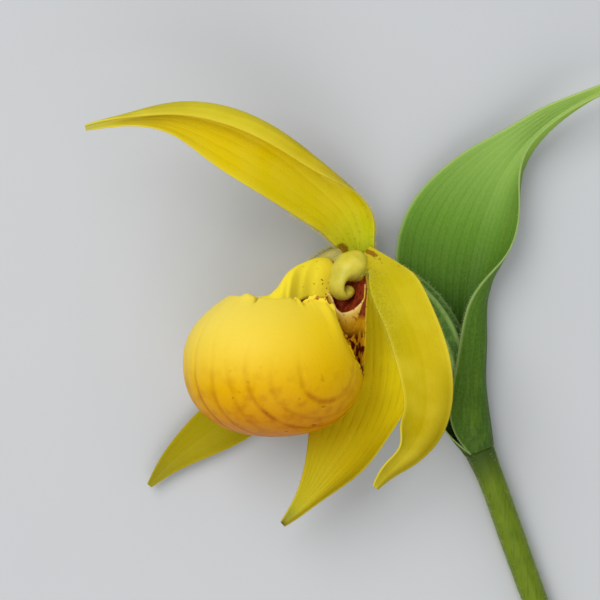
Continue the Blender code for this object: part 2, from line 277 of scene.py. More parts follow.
stem_skin = living_skin("stem_skin", stem_colour, roughness=0.5, depth=0.12, fuzz=0.04)
hair_skin = living_skin("hair_white", hair_colour(hair_white, hair_light), roughness=0.5)
points, outward, faces, far, _ = tube(stem_stations, along=180, sides=72, swell=stem_ridges)
grown("stem_stalk", points, faces, stem_skin, "stem", "stem", along=far)
draw = np.random.default_rng(11)
chosen = draw.choice(len(points), stem_hair_count, replace=False)
on_flank = np.abs(outward[chosen, 2]) < 0.5 + 0.4 * draw.random(len(chosen)) ** 3
above_cut = far[chosen] < 0.98
chosen = chosen[on_flank & above_cut]
hairs("stem_hairs", points[chosen], outward[chosen] + stem_hair_lean * top, stem_hair_long,
      hair_skin, "stem", seed=12, thick=fine_hair)

# The ovary: the swollen, six-ribbed stalk behind the flower, which would become the seed pod. It
# is one with the knot at the bract's foot and with the receptacle, and is softly hairy.
ovary_stations = (
    (26.4, -42.2, -3.5, 1.6),
    (24.6, -35.0, -3.2, 2.0),
    (22.8, -27.0, -2.9, 2.5),
    (20.4, -19.0, -2.2, 2.9),
    (16.8, -12.4, -1.0, 3.0),
    (12.0, -7.0, -0.2, 2.7),
    (6.6, -3.2, 0.0, 2.3),
    (2.2, -0.8, 0.0, 2.1),
)
ovary_ribs = 6
rib_depth = 0.1
ovary_groove = (70, 108, 34)
ovary_rib = (138, 168, 84)
ovary_patch = (104, 140, 56)
ovary_neck = (176, 178, 60)
ovary_hair_count = 2400
ovary_hair_long = 0.75
ovary_hair_lean = -0.2


def ovary_colour(tree):
    ribs = calc(tree, "COSINE", times(tree, paint(tree, "round"), ovary_ribs))
    colour = mixed(tree, stretch(tree, ribs, -0.2, 1.0), ovary_groove, ovary_rib)
    colour = mixed(tree, stretch(tree, cloud(tree, 1.2), 0.5, 0.75), colour, ovary_patch)
    near_flower = stretch(tree, paint(tree, "along"), 0.9, 1.0)
    return mixed(tree, near_flower, colour, ovary_neck), cloud(tree, 0.4)


def pod_ribs(along, turn):
    return 1 + rib_depth * np.cos(ovary_ribs * turn)


ovary_skin = living_skin("ovary_skin", ovary_colour, roughness=0.5, depth=0.1, fuzz=0.04)
points, outward, faces, far, round_it = tube(ovary_stations, along=130, sides=72, swell=pod_ribs)
grown("ovary_pod", points, faces, ovary_skin, "ovary", "ovary", along=far, round=round_it)
chosen = draw.choice(len(points), ovary_hair_count, replace=False)
hairs("ovary_hairs", points[chosen], outward[chosen] + ovary_hair_lean * top, ovary_hair_long,
      hair_skin, "ovary", seed=14, thick=fine_hair)

# The bract: the green leaf that sheathed the flower in bud. It is one thin blade, wrapped round the
# ovary's foot, open above and pinched towards its tip, with lengthwise veins that show most below.
leaf_thick = 0.5
leaf_edge_thick = 0.3
bract_veins = 9
bract_hair_count = 3200
bract_hair_long = 0.5
table = -receptacle[2]
# A blade's stations are places on its midrib, each with the blade's roll, how far both halves are
# lifted, and then the width and the bend of the half to the left and of the half to the right.
bract_stations = (
    (26.5, -42.6, -6.4, 0, 0, 7.8, 140, 12.4, 225),
    (24.4, -36.5, -6.6, 0, 0, 8.4, 80, 18.8, 248),
    (23.4, -28.0, -6.9, 0, 0, 10.0, 40, 16.9, 224),
    (23.4, -18.5, -7.1, 0, 0, 12.4, 24, 15.8, 200),
    (23.6, -9.0, -7.1, 0, 1, 15.4, 20, 13.6, 170),
    (25.0, 1.0, -7.0, 0, 2, 17.2, 16, 12.4, 104),
    (27.8, 10.4, -6.5, 0, 4, 15.4, 18, 11.2, 78),
    (31.4, 18.4, -5.4, 0, 7, 10.6, 20, 9.2, 96),
    (36.2, 25.0, -3.6, 0, 12, 6.0, 20, 7.0, 130),
    (42.6, 30.8, -1.0, 0, 16, 3.8, 30, 4.6, 130),
    (51.0, 35.8, 1.6, 0, 16, 1.8, 40, 2.0, 100),
    (59.0, 39.8, 3.4, 0, 10, 0.6, 20, 0.6, 20),
)
even_bend = (0.0, 1.0)


def blade(stations, along, across, veins, ridge, right_bend=even_bend, ripple=(0, 0, 0)):
    """A leaf's or petal's middle surface as rows of points from base to tip, left to right, with
    the directions its inner face looks, and how far along and across each point lies. Its veins
    are raised on the outer face by ridge. right_bend says where across the right half its bend
    starts and ends. ripple waves the margins: angle, times, start."""
    rows, share = along_stations(stations, along)
    spine = rows[:, :3]
    travel = unit(np.gradient(spine, axis=0))
    facing = unit(np.array([0.0, 0.0, 1.0]) - travel * travel[:, 2:3])
    side = np.cross(travel, facing)
    roll = np.radians(rows[:, 3:4])
    rolled = np.cos(roll) * side + np.sin(roll) * facing
    facing = np.cos(roll) * facing - np.sin(roll) * side
    angle, waves, start = ripple
    halves = []
    for hand, (first, last), column in ((-1, even_bend, 5), (1, right_bend, 7)):
        wide = np.maximum(rows[:, column], 0.5)
        wave = angle * np.sin(2 * math.pi * (waves * share + start + 0.3 * hand))
        line = [spine]
        for k in range(across):
            part = (k + 0.5) / across
            bent = np.clip((part - first) / (last - first), 0, 1)
            turn = np.radians(rows[:, 4] + rows[:, column + 1] * bent + wave * part**2)[:, None]
            step = hand * np.cos(turn) * rolled + np.sin(turn) * facing
            line.append(line[-1] + step * wide[:, None] / across)
        halves.append(line)
    grid = np.stack(halves[0][:0:-1] + halves[1], axis=1)
    normal = unit(np.cross(np.gradient(grid, axis=1), np.gradient(grid, axis=0)))
    over = np.linspace(-1, 1, 2 * across + 1)[None] * np.ones((along + 1, 1))
    far = share[:, None] * np.ones((1, 2 * across + 1))
    line = np.abs(np.sin(0.5 * math.pi * (veins + 1) * (over + 1)))
    relief = ridge * (np.exp(-((line / 0.35) ** 2)) - 0.3)
    relief = relief * np.clip(6 * (1 - far), 0, 1) * np.clip(6 * (1 - np.abs(over)), 0, 1)
    return grid - normal * relief[..., None], normal, far, over


def two_faced(above, below):
    """The points and faces of one closed piece that lies between two grids of points."""
    rows, columns = above.shape[:2]
    points = np.concatenate([above.reshape(-1, 3), below.reshape(-1, 3)])
    shift = rows * columns
    faces = []
    for i in range(rows - 1):
        for j in range(columns - 1):
            a, d = i * columns + j, (i + 1) * columns + j
            faces.append((a, a + 1, d + 1, d))
            faces.append((d + shift, d + 1 + shift, a + 1 + shift, a + shift))
    rim = [i * columns for i in range(rows)]
    rim += [(rows - 1) * columns + j for j in range(1, columns)]
    rim += [i * columns + columns - 1 for i in range(rows - 2, -1, -1)]
    rim += list(range(columns - 2, 0, -1))
    for a, b in zip(rim, rim[1:] + rim[:1]):
        faces.append((a, b, b + shift, a + shift))
    return points, faces


def sheet(name, leaf, thick, skin, slot, node_name):
    """A leaf or petal of the given thickness, thinning to its edge, as one closed piece."""
    grid, normal, far, over = leaf
    thin = np.clip((1 - np.abs(over)) / 0.12, 0, 1) * np.clip((1 - far) / 0.03, 0, 1)
    half = (leaf_edge_thick + (thick - leaf_edge_thick) * np.sqrt(thin))[..., None] / 2
    above, below = grid + normal * half, grid - normal * half
    sunk = np.maximum(table - below[..., 2], 0)
    above[..., 2] += sunk
    below[..., 2] += sunk
    points, faces = two_faced(above, below)
    grown(
        name, points, faces, skin, slot, node_name,
        along=np.tile(far.ravel(), 2), across=np.tile(over.ravel(), 2),
        inner=np.repeat([1.0, 0.0], far.size),
    )


def blade_hairs(name, leaf, count, length, skin, slot, seed, edge_share, thick,
                rows=(0.0, 1.0), sides=(-1, 1), band=1.0):
    """Hairs on a leaf or petal, between two places along it: edge_share of them stand out from the
    margins on the sides given, and the rest on it, within a band of its half width from there."""
    grid, normal, far, over = leaf
    draw = np.random.default_rng(seed)
    lines, columns = grid.shape[:2]
    i = draw.integers(int(rows[0] * (lines - 2)) + 1, int(rows[1] * (lines - 2)) + 1, count)
    on_edge = draw.random(count) < edge_share
    side = draw.choice(sides, count)
    inset = (draw.random(count) ** 1.6 * band * (columns // 2)).astype(int) + 1
    inset = np.where(on_edge, 0, inset)
    j = np.where(side > 0, columns - 1 - inset, inset)
    beside = np.where(j > columns // 2, j - 1, j + 1)
    out = unit(grid[i, j] - grid[i, beside])
    face = np.where(draw.random(count) < 0.5, 1.0, -1.0)[:, None]
    direction = np.where(on_edge[:, None], out + 0.2 * face * normal[i, j], face * normal[i, j])
    start = grid[i, j] + np.where(on_edge[:, None], 0, 0.2) * face * normal[i, j]
    safe = start[:, 2] + np.minimum(direction[:, 2], 0) * length > table
    hairs(name, start[safe], direction[safe], length, skin, slot, seed + 1, thick)


def ramp(tree, value, stops):
    """The colour that lies at a value between stops, each a place and an eye colour."""
    made = node(tree, "ValToRGB", {0: value})
    slots = made.color_ramp.elements
    while len(slots) < len(stops):
        slots.new(0.5)
    for slot, (place, colour) in zip(slots, stops):
        slot.position = place
        slot.color = linear(colour)
    return made.outputs[0]


def vein_lines(tree, count, width):
    """1 along each of count veins, fading to 0 at width."""
    place = calc(tree, "ADD", paint(tree, "across"), 1.0)
    wave = calc(tree, "SINE", times(tree, place, 0.5 * math.pi * (count + 1)))
    return rest(tree, stretch(tree, calc(tree, "ABSOLUTE", wave), 0.0, width))


def bract_colour(tree):
    along = paint(tree, "along")
    # Both ramps run dark at the foot. There it is painted shade, for the hollow where the bract wraps
    # the ovary and meets the stem's knot; higher up they are the bract's own greens.
    inner = ramp(tree, along, (
        (0.0, (24, 48, 2)), (0.1, (34, 68, 2)), (0.3, (46, 84, 4)), (0.5, (98, 140, 40)),
        (0.7, (144, 178, 84)), (0.85, (160, 190, 96)), (1.0, (160, 184, 74)),
    ))
    outer = ramp(tree, along, (
        (0.0, (32, 54, 2)), (0.06, (50, 80, 2)), (0.25, (56, 90, 4)), (0.5, (80, 116, 30)),
        (0.8, (128, 160, 60)), (1.0, (140, 164, 50)),
    ))
    colour = mixed(tree, paint(tree, "inner"), outer, inner)
    lines = vein_lines(tree, 2 * bract_veins + 1, 0.8)
    strong = vein_lines(tree, bract_veins, 0.4)
    patchy = stretch(tree, cloud(tree, 4.0), 0.3, 0.7)
    below = calc(tree, "SUBTRACT", 1.15, stretch(tree, along, 0.3, 0.75))
    lines, strong = (times(tree, shown, below) for shown in (lines, strong))
    colour = mixed(tree, times(tree, lines, 0.13), colour, (66, 102, 30))
    colour = mixed(tree, times(tree, strong, patchy, 0.3), colour, (52, 88, 24))
    streaks = stretch(tree, cloud(tree, 0.8, 2.0, (1.0, 0.08, 1.0)), 0.5, 0.7)
    near_foot = rest(tree, stretch(tree, along, 0.15, 0.4))
    colour = mixed(tree, times(tree, streaks, near_foot, 0.4), colour, (112, 142, 20))
    right_half = stretch(tree, paint(tree, "across"), 0.2, 0.6)
    under_tip = rest(tree, stretch(tree, along, 0.6, 0.75))
    colour = mixed(tree, times(tree, right_half, under_tip, 0.4), colour, (74, 108, 28))
    rim = stretch(tree, calc(tree, "ABSOLUTE", paint(tree, "across")), 0.95, 1.0)
    colour = mixed(tree, times(tree, rim, 0.6), colour, (172, 196, 116))
    fine = cloud(tree, 0.6)
    bloom = stretch(tree, fine, 0.4, 0.7)
    colour = mixed(tree, times(tree, bloom, 0.07), colour, (168, 192, 110))
    return colour, calc(tree, "ADD", fine, lines)


bract_skin = living_skin(
    "bract_skin", bract_colour, roughness=0.5, gloss=0.12, depth=0.12, fuzz=0.01
)
bract_leaf = blade(bract_stations, along=170, across=40, veins=bract_veins, ridge=0.06)
sheet("bract_leaf", bract_leaf, leaf_thick, bract_skin, "bract", "bract")
blade_hairs("bract_hairs", bract_leaf, bract_hair_count, bract_hair_long, hair_skin, "bract",
            seed=21, edge_share=0.85, thick=0.018)

# The dorsal sepal: the hood over the flower, one soft yellow blade on the receptacle's top. Its
# near margin has rolled right over inwards, so its paler outer face shows as a band along the top.
petal_thick = 0.42
sepal_veins = 7
sepal_hair_count = 900
sepal_hair_long = 1.0
hair_yellow = (226, 212, 44)
hair_lemon = (238, 226, 96)
dorsal_stations = (
    (-0.4, 1.0, -1.4, -6, 8, 3.4, 10, 3.8, 20),
    (-0.8, 3.15, -0.8, -6, 8, 4.0, 10, 4.2, 30),
    (-1.7, 5.8, 0.4, -8, 8, 5.4, 12, 5.6, 45),
    (-3.8, 9.6, 2.4, -8, 8, 6.6, 12, 7.4, 75),
    (-7.6, 13.4, 5.0, -10, 8, 7.8, 14, 8.8, 110),
    (-14.0, 18.8, 9.5, -10, 8, 9.2, 14, 9.8, 155),
    (-22.0, 24.1, 14.5, -8, 8, 9.8, 14, 10.4, 175),
    (-30.5, 27.9, 18.5, 0, 8, 8.2, 16, 9.8, 175),
    (-39.6, 29.9, 21.5, 12, 10, 4.8, 40, 6.8, 160),
    (-49.0, 29.1, 23.0, 16, 14, 1.8, 60, 3.2, 120),
    (-58.6, 27.2, 23.5, 10, 10, 0.6, 40, 0.7, 40),
)
rolled_bend = (0.30, 0.80)


def petal_colour(inner, outer, vein, rim, veins, speckle, margin_shade=0.0, velvet=0.0,
                 mark=(0.03, -0.8)):
    """A petal's paint: inner and outer ramps along it, veins, a rim, brown specks at its base, and
    a brown mark there, placed by how far along and across it lies. The share just before velvet lays
    painted shade on its left margin towards the tip, where it folds, and velvet darkens its right one
    towards the base."""
    def build(tree):
        along, across = paint(tree, "along"), paint(tree, "across")
        colour = mixed(tree, paint(tree, "inner"), ramp(tree, along, outer), ramp(tree, along, inner))
        lines = vein_lines(tree, veins, 0.55)
        patchy = stretch(tree, cloud(tree, 5.0), 0.35, 0.7)
        colour = mixed(tree, times(tree, lines, patchy, 0.3), colour, vein)
        soft = stretch(tree, cloud(tree, 9.0, 2.0), 0.4, 0.65)
        colour = mixed(tree, times(tree, soft, 0.28), colour, rim)
        edge = stretch(tree, calc(tree, "ABSOLUTE", across), 0.86, 1.0)
        colour = mixed(tree, times(tree, edge, 0.55), colour, rim)
        left_side = stretch(tree, times(tree, across, -1.0), 0.3, 0.8)
        towards_tip = stretch(tree, along, 0.5, 0.75)
        # Painted shade over the left margin towards the tip, where the blade folds.
        colour = mixed(tree, times(tree, left_side, towards_tip, margin_shade), colour, (132, 116, 2))
        right_side = stretch(tree, across, 0.0, 0.8)
        towards_base = rest(tree, stretch(tree, along, 0.3, 0.5))
        pile = stretch(tree, cloud(tree, 0.5, 4.0), 0.3, 0.7)
        colour = mixed(tree, times(tree, right_side, towards_base, pile, velvet), colour, (140, 138, 6))
        away = times(tree, calc(tree, "SUBTRACT", along, mark[0]), 11.0)
        aside = calc(tree, "SUBTRACT", across, mark[1])
        squares = calc(tree, "ADD", times(tree, away, away), times(tree, aside, aside))
        away = calc(tree, "ADD", calc(tree, "SQRT", squares), times(tree, cloud(tree, 1.2), 0.4))
        stain = rest(tree, stretch(tree, away, 0.42, 0.52))
        colour = mixed(tree, times(tree, stain, 0.8), colour, (128, 66, 8))
        spots = stretch(tree, cloud(tree, 0.9, 1.0), 0.63, 0.68)
        at_base = rest(tree, stretch(tree, along, 0.03, 0.16))
        colour = mixed(tree, times(tree, spots, at_base, speckle), colour, (120, 62, 8))
        return colour, calc(tree, "ADD", cloud(tree, 0.5), times(tree, lines, 0.6))
    return build


pale_hair_skin = living_skin(
    "hair_yellow", hair_colour(hair_yellow, hair_lemon), roughness=0.5
)
sepal_skin = living_skin(
    "dorsal_sepal_skin",
    petal_colour(
        inner=((0.0, (170, 186, 26)), (0.06, (190, 194, 16)), (0.16, (212, 196, 4)),
               (0.5, (222, 195, 0)), (0.75, (214, 188, 12)), (0.92, (196, 182, 50)),
               (1.0, (176, 176, 80))),
        outer=((0.0, (180, 168, 20)), (0.3, (190, 166, 0)), (0.6, (202, 186, 34)),
               (0.85, (178, 166, 36)), (1.0, (162, 158, 50))),
        vein=(176, 146, 0), rim=(224, 204, 56), veins=sepal_veins, speckle=0.25,
    ),
    roughness=0.45, gloss=0.1, depth=0.1,
)
dorsal_leaf = blade(
    dorsal_stations, along=150, across=34, right_bend=rolled_bend, veins=sepal_veins, ridge=0.07
)
sheet("dorsal_sepal_hood", dorsal_leaf, petal_thick, sepal_skin, "sepals", "dorsal_sepal")
blade_hairs("dorsal_sepal_hairs", dorsal_leaf, sepal_hair_count, sepal_hair_long, pale_hair_skin,
            "sepals", seed=31, edge_share=0.7, thick=0.02, rows=(0.0, 0.3), band=0.4)

# The synsepal: the two lower sepals grown together into one broad blade, which hangs behind the
# pouch. It is yellow turning olive, with many fine veins and a darker, waved margin. Its base is
# painted brighter, as painted light against the shadow of the upper petal and the pouch, and
# painted shade darkens its left margin towards the tip.
synsepal_veins = 11
synsepal_stations = (
    (2.4, -4.4, -3.1, 0, 0, 2.6, 4, 3.0, 4),
    (2.8, -11.0, -3.6, -8, 4, 7.0, 10, 7.6, 8),
    (3.2, -21.0, -2.4, -20, 4, 10.4, 18, 10.6, 8),
    (2.0, -31.0, 0.2, -26, 4, 11.6, 28, 12.0, 8),
    (-1.8, -39.8, 3.6, -22, 4, 10.0, 48, 10.4, 12),
    (-7.2, -47.4, 6.8, -12, 8, 6.0, 56, 6.4, 26),
    (-12.4, -53.4, 9.0, -6, 10, 2.6, 56, 2.8, 40),
    (-17.0, -57.8, 10.0, 0, 10, 0.7, 30, 0.7, 30),
)
synsepal_skin = living_skin(
    "synsepal_skin",
    petal_colour(
        # The brightest stops, near the base, are painted light against the shadow of the upper petal
        # and the pouch.
        inner=((0.0, (246, 228, 20)), (0.4, (250, 230, 20)), (0.7, (214, 194, 14)),
               (0.92, (186, 176, 34)), (0.98, (140, 140, 40)), (1.0, (60, 48, 16))),
        outer=((0.0, (160, 150, 30)), (0.5, (184, 170, 34)), (0.9, (160, 160, 44)),
               (1.0, (130, 142, 44))),
        # painted shade on the left margin towards the tip
        vein=(140, 116, 0), rim=(206, 184, 14), veins=synsepal_veins, speckle=0.5, margin_shade=0.6,
    ),
    roughness=0.48, gloss=0.15, depth=0.1,
)
synsepal_leaf = blade(
    synsepal_stations, along=130, across=34, ripple=(8, 2.6, 0.1), veins=synsepal_veins, ridge=0.1
)
sheet("synsepal_blade", synsepal_leaf, petal_thick, synsepal_skin, "sepals", "synsepal")

# The two side petals: narrow twisted blades, one on each side of the column. The upper one curls
# towards its tip; the lower one lies under the pouch, pressed flat where the flower rests on it.
petal_veins = 5
upper_hair_count = 1500
upper_hair_long = 0.7
lower_hair_count = 650
lower_hair_long = 1.5
upper_stations = (
    (0.8, 0.9, 1.0, 14, 0, 2.2, 6, 2.4, 6),
    (3.8, -1.2, 3.3, 14, 0, 2.6, 6, 2.8, 6),
    (6.4, -5.2, 7.8, 10, 4, 5.0, 12, 4.8, 8),
    (9.8, -12.4, 13.4, 4, 6, 5.8, 16, 5.6, 8),
    (12.4, -20.2, 18.0, 0, 8, 6.0, 18, 5.8, 8),
    (13.6, -28.0, 21.8, 0, 8, 6.0, 22, 5.2, 10),
    (12.8, -35.2, 24.6, 4, 8, 5.4, 40, 4.9, 14),
    (11.2, -38.6, 25.6, 8, 8, 4.7, 52, 4.7, 24),
    (9.4, -41.2, 26.4, 10, 8, 3.7, 60, 2.9, 34),
    (5.8, -44.8, 27.6, 10, 8, 2.0, 50, 2.2, 40),
    (2.6, -48.6, 29.0, 0, 8, 0.7, 30, 0.7, 30),
)
lower_stations = (
    (0.6, 0.2, -2.9, 0, 0, 2.0, 4, 3.0, 4),
    (-2.8, -2.2, -4.7, 0, 1, 3.4, 5, 5.4, 6),
    (-6.6, -5.4, -6.2, 0, 2, 4.6, 6, 6.2, 10),
    (-14.0, -15.2, -7.1, 0, 2, 6.4, 4, 5.8, 8),
    (-21.0, -25.0, -7.2, 0, 2, 7.6, 4, 6.0, 6),
    (-28.0, -33.4, -7.0, 0, 5, 7.4, 10, 5.4, 10),
    (-35.6, -40.0, -6.4, 0, 12, 5.0, 16, 4.6, 16),
    (-42.0, -45.2, -5.6, 0, 14, 2.8, 20, 2.6, 20),
    (-46.6, -50.4, -4.8, 0, 10, 0.6, 20, 0.6, 20),
)
upper_skin = living_skin(
    "upper_petal_skin",
    petal_colour(
        inner=((0.0, (190, 174, 24)), (0.2, (196, 178, 8)), (0.5, (192, 170, 2)),
               (0.75, (178, 156, 0)), (1.0, (168, 154, 30))),
        outer=((0.0, (190, 176, 40)), (0.5, (172, 156, 2)), (1.0, (176, 160, 16))),
        vein=(184, 160, 4), rim=(222, 204, 60), veins=petal_veins, speckle=0.6,
        # painted shade on the left margin towards the tip
        margin_shade=0.75, velvet=0.6, mark=(0.022, -0.42),
    ),
    roughness=0.48, gloss=0.08, depth=0.1,
)
lower_skin = living_skin(
    "lower_petal_skin",
    petal_colour(
        inner=((0.0, (248, 242, 176)), (0.1, (244, 236, 146)), (0.22, (204, 188, 40)),
               (0.35, (170, 154, 12)), (0.6, (158, 144, 4)), (0.85, (152, 140, 8)),
               (1.0, (142, 134, 30))),
        outer=((0.0, (246, 240, 170)), (0.12, (236, 226, 120)), (0.3, (176, 164, 36)),
               (1.0, (160, 150, 24))),
        vein=(138, 120, 0), rim=(170, 154, 16), veins=petal_veins, speckle=0.5,
    ),
    roughness=0.48, gloss=0.06, depth=0.1,
)
upper_leaf = blade(
    upper_stations, along=130, across=26, ripple=(8, 2.2, 0.0), veins=petal_veins, ridge=0.05
)
lower_leaf = blade(lower_stations, along=120, across=26, veins=petal_veins, ridge=0.05)
sheet("upper_petal", upper_leaf, petal_thick, upper_skin, "petals", "petal_left")
sheet("lower_petal", lower_leaf, petal_thick, lower_skin, "petals", "petal_right")
blade_hairs("upper_petal_hairs", upper_leaf, upper_hair_count, upper_hair_long, pale_hair_skin,
            "petals", seed=41, edge_share=0.35, thick=0.014, rows=(0.0, 0.5), sides=(1, 1, -1),
            band=0.5)
blade_hairs("lower_petal_hairs", lower_leaf, lower_hair_count, lower_hair_long, pale_hair_skin,
            "petals", seed=44, edge_share=0.7, thick=0.022, rows=(0.02, 0.2), sides=(1,), band=0.5)

# The lip: the third petal, blown up into a hollow waxy pouch that hangs under the column. Its mouth
# is on top; the margin rolls inwards in front and on the far side, and is torn low on the near side.
facing_up = math.radians(40.0)
front = np.array([-math.cos(facing_up), 0.0, math.sin(facing_up)])
left = np.array([math.sin(facing_up), 0.0, math.cos(facing_up)])
lip_centre = np.array([-18.7, -22.9, 14.4])
lip_half = (20.0, 19.0, 15.7)
lip_square = 2.25
lip_thick = 0.7
lip_edge_thick = 0.35
# Small nicks in the rim, each with its angle, depth and width, and creases in the far fold, each
# with its angle, width and strength.
rim_nicks = ((81.0, 1.9, 2.0), (99.5, 1.1, 1.0), (32.0, 1.6, 1.3), (111.0, 0.8, 0.8))
fold_creases = ((211.5, 3.0, 1.0), (203.0, 2.2, 0.5))
# The mouth's rim: angle round from the front over the flower's left, height, share of the girth,
# and how far its margin is turned inwards and hangs down there.
lip_rim = (
    (0, 14.6, 0.54, 3.0, 1.0),
    (20, 14.2, 0.56, 3.0, 1.0),
    (45, 14.0, 0.56, 2.4, 0.6),
    (75, 14.0, 0.58, 1.2, -0.2),
    (92, 13.4, 0.70, 0.0, -1.0),
    (97, 13.6, 0.77, 0.0, -1.0),
    (101, 12.0, 0.82, 0.0, -1.0),
    (106, 7.2, 0.88, 0.0, -1.0),
    (111, 3.6, 0.93, 0.0, -1.0),
    (117, 0.4, 0.97, 0.0, -1.0),
    (126, -2.4, 1.00, 0.0, -1.0),
    (136, -2.8, 1.00, 0.0, -1.0),
    (146, -1.6, 1.00, 0.0, -1.0),
    (153, 11.0, 1.04, 0.0, -1.0),
    (164, 16.4, 1.12, 0.0, -1.0),
    (172, 19.0, 1.18, 0.0, -1.0),
    (180, 19.7, 1.20, 0.0, -1.0),
    (188, 19.6, 1.13, 2.6, 4.5),
    (194, 22.8, 1.07, 5.4, 9.2),
    (200, 23.4, 1.03, 5.6, 9.0),
    (207, 22.4, 0.92, 6.4, 9.4),
    (215, 20.8, 0.76, 6.0, 9.4),
    (221, 19.4, 0.69, 5.6, 8.4),
    (228, 16.6, 0.64, 4.8, 6.0),
    (237, 14.8, 0.59, 3.8, 3.4),
    (249, 14.4, 0.55, 3.2, 1.8),
    (262, 14.4, 0.50, 3.0, 1.0),
    (285, 14.4, 0.48, 3.0, 1.0),
    (310, 14.4, 0.50, 3.0, 1.0),
    (340, 14.6, 0.52, 3.0, 1.0),
)
# The lip's lengthwise furrows: the share of the way to its left, and how deep each is.
lip_grooves = (
    (-0.40, 0.5), (-0.12, 0.9), (0.15, 0.7), (0.36, 0.45), (0.57, 1.0), (0.76, 0.5), (0.91, 1.0),
)


def lip_outside(around, up, over_rim):
    """The pouch's outer surface: rows from its lowest point up to the rim and over it, going
    round, then each point's share of the way forward, to its left and up, and past the rim."""
    angles = np.arange(around) * 360 / around
    places = np.array(lip_rim + ((360, *lip_rim[0][1:]),), float)
    height, girth, inward, hanging = (
        np.interp(angles, places[:, 0], places[:, column]) for column in (1, 2, 3, 4)
    )
    window = np.hanning(9) / np.hanning(9).sum()
    for values in (height, girth, inward, hanging):
        eased = np.convolve(np.concatenate([values[-4:], values, values[:4]]), window, "valid")
        values[:] = np.where((angles > 188) | (angles < 85), eased, values)
    torn = 0.6 * np.sin(angles * 0.55 + 2) + 0.3 * np.sin(angles * 1.3 + 1) + 0.2 * np.sin(angles * 2.9)
    near = np.clip((angles - 66) / 8, 0, 1) * np.clip((135 - angles) / 8, 0, 1)
    torn = near * torn * 0.6
    torn = torn + 0.8 * np.exp(-(((angles - 20) / 8) ** 2))
    for nick, depth, wide in rim_nicks:
        torn = torn - depth * np.exp(-(((angles - nick) / wide) ** 2))
    turn = np.radians(angles)
    half_long, half_wide, half_high = lip_half
    power = 2 / lip_square
    below = 1 + 2 / math.pi * np.arcsin(np.minimum(height, 0) / half_high)
    full = np.where(height > 0, 1 + height / half_high, below)
    rows = []
    for step in range(up + 1):
        reach = full * step / up
        low = np.radians(90 * (np.minimum(reach, 1) - 1))
        above = np.where(full > 1, np.maximum(reach - 1, 0) / np.maximum(full - 1, 1e-6), 0)
        out = np.cos(low) ** power * (1 - (1 - girth) * above**2.4)
        rise = height * above - half_high * np.abs(np.sin(low)) ** power
        rows.append((out, rise + torn * np.clip(reach / full, 0, 1) ** 50, 0 * out))
    rim_out, rim_rise, _ = rows[-1]
    for step in range(1, over_rim + 1):
        bent = math.pi / 2 * step / over_rim
        out = rim_out - inward / half_long * math.sin(bent)
        share = np.full(around, step / over_rim)
        rows.append((out, rim_rise - hanging * (1 - math.cos(bent)), share))
    out, rise, past = (np.stack(rows_of) for rows_of in zip(*rows))
    crease = sum(
        strong * np.exp(-(((angles - place) / wide) ** 2)) for place, wide, strong in fold_creases
    )
    tall = np.clip((rise - 6) / 8, 0, 1)
    out = out - 0.06 * crease * tall * (0.35 + 0.65 * past)
    forward, sideways = out * np.cos(turn), out * np.sin(turn)
    groove = 0 * out
    for place, strong in lip_grooves:
        place = place + 0.018 * np.sin(0.28 * rise + 9 * place)
        narrow = 0.028 * np.sqrt(1 - place**2)
        near_side = np.maximum(place, 0)
        fading = np.clip(0.75 - 0.4 * near_side - (0.6 + near_side) * rise / half_high, 0, 1)
        line = np.exp(-(((sideways - place) / narrow) ** 2))
        groove = np.maximum(groove, strong * fading * line)
    swell = 0.008 * np.sin(0.35 * rise + 7 * sideways) * np.clip(-rise / half_high, 0, 1)
    dent = 0.013 * groove + swell
    forward, sideways = forward * (1 - dent), sideways * (1 - dent)
    points = (
        lip_centre
        + half_long * forward[..., None] * front
        + half_wide * sideways[..., None] * left
        + rise[..., None] * top
    )
    return points, forward, sideways, rise / half_high, past, groove


